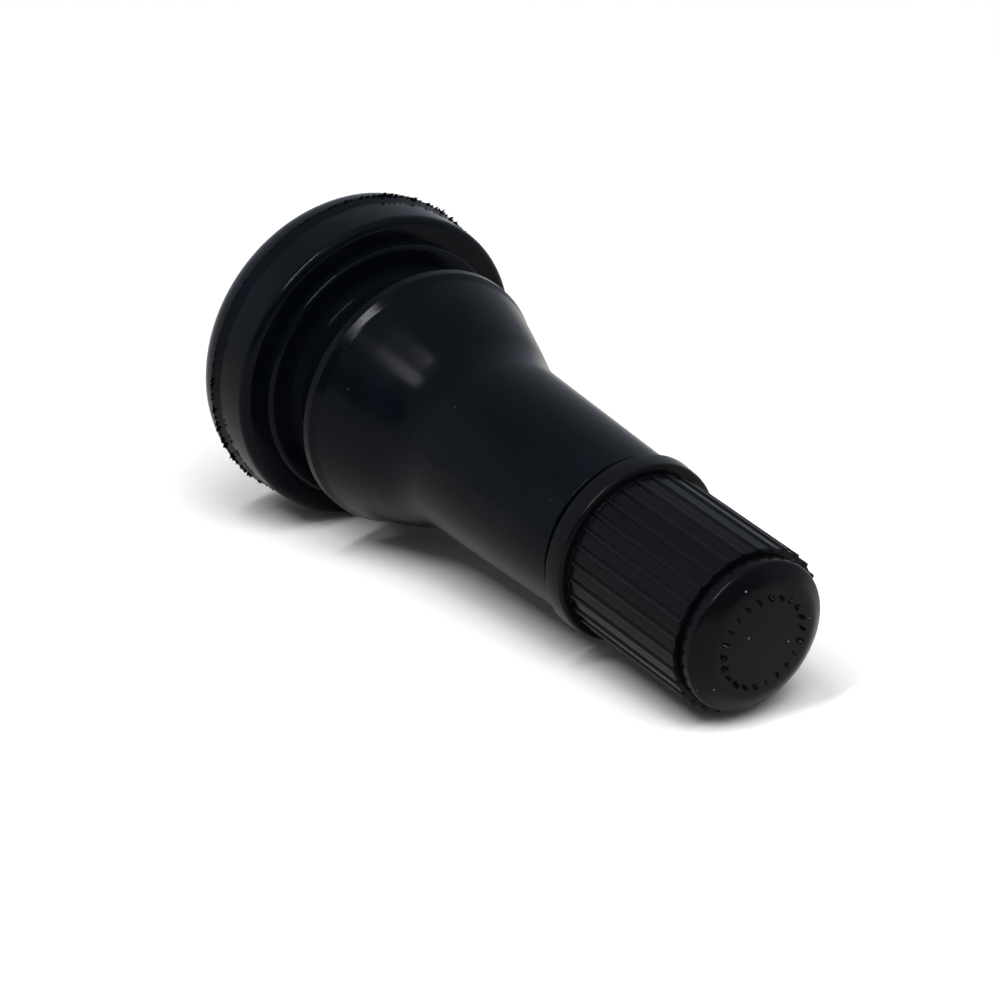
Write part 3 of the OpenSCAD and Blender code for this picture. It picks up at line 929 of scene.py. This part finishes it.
# the strip lamp makes the hard streaks, and its dim reflector the patch at the end of the nose (metres)
lamps = {
    "strip_lamp": {"azimuth": -145, "elevation": 59, "across": 0.035, "tall": 0.43, "radiance": 54},
    "reflector": {"azimuth": -129, "elevation": 50.5, "across": 0.126, "tall": 0.155, "radiance": 7.0},
}
lampDistance = 0.8    # metres
lampTarget = Vector((0, 0, 15 * mm))
for name, panel in lamps.items():
    out = aim(panel["azimuth"], panel["elevation"])
    lamp = bpy.data.objects.new(name, bpy.data.lights.new(name, "AREA"))
    lamp.data.shape = "RECTANGLE"
    lamp.data.size = panel["across"]
    lamp.data.size_y = panel["tall"]
    lamp.data.energy = panel["radiance"] * math.pi * panel["across"] * panel["tall"]
    across = floorUp.cross(out).normalized()
    turnTo = Matrix((across, out.cross(across), out)).transposed().to_4x4()
    lamp.matrix_world = Matrix.Translation(out * lampDistance + lampTarget) @ turnTo
    scene.collection.objects.link(lamp)

# the room is seen brighter along the left wall, and sheds its light in one soft lobe over the camera;
# a span is the cosine from a direction over which a part of the room fades in
room = {
    "tint": "#dfe9f8",      # daylight in the reflections
    "ceiling": 0.55,
    "ceilingSpan": (0.5, 0.9),
    "wallDark": 0.06,       # behind the camera
    "wallFar": 0.6,
    "farFrom": 20,
    "farSpan": (-0.35, 0.35),
    "doorway": 0.3,         # dimming of a dark doorway, seen on the bulb
    "doorFrom": -127,
    "doorLevel": 15,
    "doorSpan": (0.95, 0.98),
    "wallBright": 0.85,
    "brightFrom": -75,
    "brightSpan": (0.2, 0.85),
    "soft": 0.1,
    "lobe": 8.5,
    "lobePower": 20.0,
    "lobeFrom": 165,
    "lobeLevel": 58,
}
world = bpy.data.worlds.new("pale room")
scene.world = world
world.use_nodes = True
tree = world.node_tree
tree.nodes.clear()
facing = addNode(tree, "ShaderNodeTexCoord").outputs["Generated"]


def fadeIn(direction, span, levels=(0.0, 1.0)):
    cosine = vectorCalc(tree, "DOT_PRODUCT", facing, direction)
    return spread(tree, cosine, span, levels, interpolation_type="SMOOTHSTEP")


near = fadeIn(aim(room["brightFrom"], 0), room["brightSpan"], (0.0, room["wallBright"]))
far = fadeIn(aim(room["farFrom"], 0), room["farSpan"], (room["wallDark"], room["wallFar"]))
wall = calc(tree, "MAXIMUM", near, far)
roomLit = mixValue(tree, fadeIn(floorUp, room["ceilingSpan"]), wall, room["ceiling"])
dimmed = fadeIn(aim(room["doorFrom"], room["doorLevel"]), room["doorSpan"], (1.0, room["doorway"]))
roomSeen = calc(tree, "MULTIPLY", roomLit, dimmed)
toLobe = vectorCalc(tree, "DOT_PRODUCT", facing, aim(room["lobeFrom"], room["lobeLevel"]))
lobe = calc(tree, "POWER", calc(tree, "MAXIMUM", toLobe, 0.0), room["lobePower"])
softLight = calc(tree, "MULTIPLY_ADD", lobe, room["lobe"], room["soft"])
path = addNode(tree, "ShaderNodeLightPath")
fromGlossy = path.outputs["Is Glossy Ray"]
# glossy surfaces show the room as it is seen, and the background is white
lit = mixValue(tree, fromGlossy, softLight, roomSeen)
plainSeen = calc(tree, "MAXIMUM", path.outputs["Is Camera Ray"], path.outputs["Is Transmission Ray"])
shown = calc(tree, "MAXIMUM", lit, plainSeen)
cool = mixColour(tree, fromGlossy, (1, 1, 1, 1), toLinear(room["tint"]))
sky = addNode(tree, "ShaderNodeBackground", {"Color": cool, "Strength": shown})
addNode(tree, "ShaderNodeOutputWorld", {0: sky})
scene.view_settings.view_transform = "Standard"
print("floor", round(floorLevel / mm, 3), "mm under the axis, a strip lamp and a pale room")
